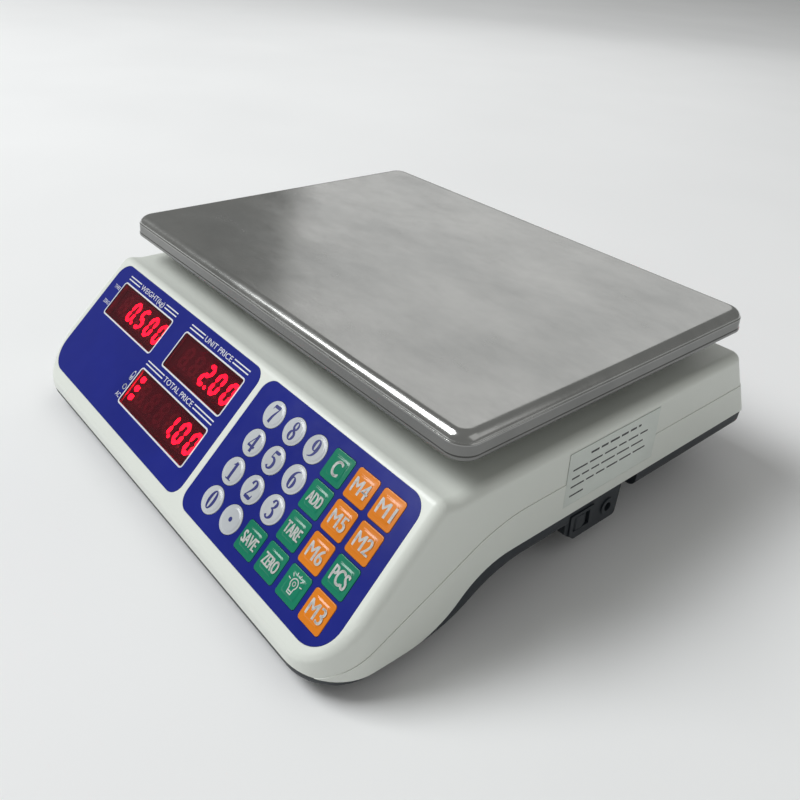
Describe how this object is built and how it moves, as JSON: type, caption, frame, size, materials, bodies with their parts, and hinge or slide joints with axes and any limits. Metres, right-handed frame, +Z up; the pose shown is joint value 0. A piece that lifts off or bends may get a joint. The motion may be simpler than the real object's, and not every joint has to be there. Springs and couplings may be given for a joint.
{
  "type": "retail price computing scale",
  "caption": "Counter-top price computing scale with a sloping display and keypad, a stainless tray on a load cell, and a rear customer display.",
  "frame": {"origin": "on the table, midway across the housing and midway between the front lip and the back edge", "axes": "+X to the user's right, +Y from the user towards the customer side, +Z up"},
  "size_m": [0.334, 0.333, 0.1147],
  "materials": {
    "white_abs": "satin moulded ABS",
    "black_abs": "fine moulded texture",
    "stainless": "polished stainless sheet",
    "cast_aluminium": "machined",
    "rubber": "matt",
    "zinc_steel": "zinc plated",
    "blue_print": "reverse-printed film",
    "red_filter": "tinted acrylic",
    "digit_black": "moulded module",
    "led_red": "lit lamp",
    "circuit_board": "solder mask",
    "switch_black": "moulded",
    "winding_steel": "laminated core",
    "battery_case": "moulded case",
    "label_paper": "printed film",
    "foot_rubber": "moulded",
    "key_grey": "printed dome",
    "key_green": "printed dome",
    "key_orange": "printed dome"
  },
  "bodies": {
    "scale_body": {"upper_housing": "white_abs", "base_shell": "black_abs", "power_switch": "black_abs", "power_inlet": "black_abs", "load_cell": "cast_aluminium", "lower_cell_spacer": "cast_aluminium", "base_screws": "zinc_steel", "overload_stops": "zinc_steel", "display_overlay": "blue_print", "keypad_overlay": "blue_print", "rear_overlay": "blue_print", "front_filter": "red_filter", "rear_filter": "red_filter", "weight_digits": "digit_black", "unit_price_digits": "digit_black", "total_price_digits": "digit_black", "rear_digits": "digit_black", "status_leds": "led_red", "display_board": "circuit_board", "keypad_board": "circuit_board", "rear_board": "circuit_board", "main_board": "circuit_board", "key_switches": "switch_black", "transformer": "winding_steel", "battery": "battery_case", "rating_label": "label_paper"},
    "tray_platform": {"tray_support": "cast_aluminium", "tray_pads": "rubber", "upper_cell_spacer": "cast_aluminium", "cell_top_screws": "zinc_steel"},
    "tray": {"weighing_tray": "stainless"},
    "power_rocker": {"switch_rocker": "black_abs"},
    "foot_front_left": {"foot_front_left": "foot_rubber"},
    "foot_front_right": {"foot_front_right": "foot_rubber"},
    "foot_rear_left": {"foot_rear_left": "foot_rubber"},
    "foot_rear_right": {"foot_rear_right": "foot_rubber"},
    "key_seven": {"key_seven": "key_grey"},
    "key_eight": {"key_eight": "key_grey"},
    "key_nine": {"key_nine": "key_grey"},
    "key_clear": {"key_clear": "key_green"},
    "key_memory_4": {"key_memory_4": "key_orange"},
    "key_memory_1": {"key_memory_1": "key_orange"},
    "key_four": {"key_four": "key_grey"},
    "key_five": {"key_five": "key_grey"},
    "key_six": {"key_six": "key_grey"},
    "key_add": {"key_add": "key_green"},
    "key_memory_5": {"key_memory_5": "key_orange"},
    "key_memory_2": {"key_memory_2": "key_orange"},
    "key_one": {"key_one": "key_grey"},
    "key_two": {"key_two": "key_grey"},
    "key_three": {"key_three": "key_grey"},
    "key_tare": {"key_tare": "key_green"},
    "key_memory_6": {"key_memory_6": "key_orange"},
    "key_pieces": {"key_pieces": "key_green"},
    "key_nought": {"key_nought": "key_grey"},
    "key_point": {"key_point": "key_grey"},
    "key_save": {"key_save": "key_green"},
    "key_zero": {"key_zero": "key_green"},
    "key_backlight": {"key_backlight": "key_green"},
    "key_memory_3": {"key_memory_3": "key_orange"}
  },
  "joints": [
    {"name": "platform_deflection", "type": "slide", "parent": "scale_body", "child": "tray_platform", "axis": [0, 0, 1], "range_m": [-0.0005, 0], "stiffness_N_per_m": 300000, "springref_m": 0.00006},
    {"name": "tray_lift", "type": "slide", "parent": "tray_platform", "child": "tray", "axis": [0, 0, 1], "range_m": [0, 0.06]},
    {"name": "power_rocker", "type": "hinge", "parent": "scale_body", "child": "power_rocker", "pos_m": [0.16, 0.005, 0.0225], "axis": [0, 0, 1], "range_deg": [-16, 0]},
    {"name": "front_left_foot_height", "type": "slide", "parent": "scale_body", "child": "foot_front_left", "axis": [0, 0, 1], "range_m": [-0.004, 0]},
    {"name": "front_right_foot_height", "type": "slide", "parent": "scale_body", "child": "foot_front_right", "axis": [0, 0, 1], "range_m": [-0.004, 0]},
    {"name": "rear_left_foot_height", "type": "slide", "parent": "scale_body", "child": "foot_rear_left", "axis": [0, 0, 1], "range_m": [-0.004, 0]},
    {"name": "rear_right_foot_height", "type": "slide", "parent": "scale_body", "child": "foot_rear_right", "axis": [0, 0, 1], "range_m": [-0.004, 0]},
    {"name": "press_seven", "type": "slide", "parent": "scale_body", "child": "key_seven", "axis": [0, 0.7145, -0.6997], "range_m": [0, 0.0005], "stiffness_N_per_m": 1200, "springref_m": -0.0003},
    {"name": "press_eight", "type": "slide", "parent": "scale_body", "child": "key_eight", "axis": [0, 0.7145, -0.6997], "range_m": [0, 0.0005], "stiffness_N_per_m": 1200, "springref_m": -0.0003},
    {"name": "press_nine", "type": "slide", "parent": "scale_body", "child": "key_nine", "axis": [0, 0.7145, -0.6997], "range_m": [0, 0.0005], "stiffness_N_per_m": 1200, "springref_m": -0.0003},
    {"name": "press_clear", "type": "slide", "parent": "scale_body", "child": "key_clear", "axis": [0, 0.7145, -0.6997], "range_m": [0, 0.0005], "stiffness_N_per_m": 1200, "springref_m": -0.0003},
    {"name": "press_memory_4", "type": "slide", "parent": "scale_body", "child": "key_memory_4", "axis": [0, 0.7145, -0.6997], "range_m": [0, 0.0005], "stiffness_N_per_m": 1200, "springref_m": -0.0003},
    {"name": "press_memory_1", "type": "slide", "parent": "scale_body", "child": "key_memory_1", "axis": [0, 0.7145, -0.6997], "range_m": [0, 0.0005], "stiffness_N_per_m": 1200, "springref_m": -0.0003},
    {"name": "press_four", "type": "slide", "parent": "scale_body", "child": "key_four", "axis": [0, 0.7145, -0.6997], "range_m": [0, 0.0005], "stiffness_N_per_m": 1200, "springref_m": -0.0003},
    {"name": "press_five", "type": "slide", "parent": "scale_body", "child": "key_five", "axis": [0, 0.7145, -0.6997], "range_m": [0, 0.0005], "stiffness_N_per_m": 1200, "springref_m": -0.0003},
    {"name": "press_six", "type": "slide", "parent": "scale_body", "child": "key_six", "axis": [0, 0.7145, -0.6997], "range_m": [0, 0.0005], "stiffness_N_per_m": 1200, "springref_m": -0.0003},
    {"name": "press_add", "type": "slide", "parent": "scale_body", "child": "key_add", "axis": [0, 0.7145, -0.6997], "range_m": [0, 0.0005], "stiffness_N_per_m": 1200, "springref_m": -0.0003},
    {"name": "press_memory_5", "type": "slide", "parent": "scale_body", "child": "key_memory_5", "axis": [0, 0.7145, -0.6997], "range_m": [0, 0.0005], "stiffness_N_per_m": 1200, "springref_m": -0.0003},
    {"name": "press_memory_2", "type": "slide", "parent": "scale_body", "child": "key_memory_2", "axis": [0, 0.7145, -0.6997], "range_m": [0, 0.0005], "stiffness_N_per_m": 1200, "springref_m": -0.0003},
    {"name": "press_one", "type": "slide", "parent": "scale_body", "child": "key_one", "axis": [0, 0.7145, -0.6997], "range_m": [0, 0.0005], "stiffness_N_per_m": 1200, "springref_m": -0.0003},
    {"name": "press_two", "type": "slide", "parent": "scale_body", "child": "key_two", "axis": [0, 0.7145, -0.6997], "range_m": [0, 0.0005], "stiffness_N_per_m": 1200, "springref_m": -0.0003},
    {"name": "press_three", "type": "slide", "parent": "scale_body", "child": "key_three", "axis": [0, 0.7145, -0.6997], "range_m": [0, 0.0005], "stiffness_N_per_m": 1200, "springref_m": -0.0003},
    {"name": "press_tare", "type": "slide", "parent": "scale_body", "child": "key_tare", "axis": [0, 0.7145, -0.6997], "range_m": [0, 0.0005], "stiffness_N_per_m": 1200, "springref_m": -0.0003},
    {"name": "press_memory_6", "type": "slide", "parent": "scale_body", "child": "key_memory_6", "axis": [0, 0.7145, -0.6997], "range_m": [0, 0.0005], "stiffness_N_per_m": 1200, "springref_m": -0.0003},
    {"name": "press_pieces", "type": "slide", "parent": "scale_body", "child": "key_pieces", "axis": [0, 0.7145, -0.6997], "range_m": [0, 0.0005], "stiffness_N_per_m": 1200, "springref_m": -0.0003},
    {"name": "press_nought", "type": "slide", "parent": "scale_body", "child": "key_nought", "axis": [0, 0.7145, -0.6997], "range_m": [0, 0.0005], "stiffness_N_per_m": 1200, "springref_m": -0.0003},
    {"name": "press_point", "type": "slide", "parent": "scale_body", "child": "key_point", "axis": [0, 0.7145, -0.6997], "range_m": [0, 0.0005], "stiffness_N_per_m": 1200, "springref_m": -0.0003},
    {"name": "press_save", "type": "slide", "parent": "scale_body", "child": "key_save", "axis": [0, 0.7145, -0.6997], "range_m": [0, 0.0005], "stiffness_N_per_m": 1200, "springref_m": -0.0003},
    {"name": "press_zero", "type": "slide", "parent": "scale_body", "child": "key_zero", "axis": [0, 0.7145, -0.6997], "range_m": [0, 0.0005], "stiffness_N_per_m": 1200, "springref_m": -0.0003},
    {"name": "press_backlight", "type": "slide", "parent": "scale_body", "child": "key_backlight", "axis": [0, 0.7145, -0.6997], "range_m": [0, 0.0005], "stiffness_N_per_m": 1200, "springref_m": -0.0003},
    {"name": "press_memory_3", "type": "slide", "parent": "scale_body", "child": "key_memory_3", "axis": [0, 0.7145, -0.6997], "range_m": [0, 0.0005], "stiffness_N_per_m": 1200, "springref_m": -0.0003}
  ]
}
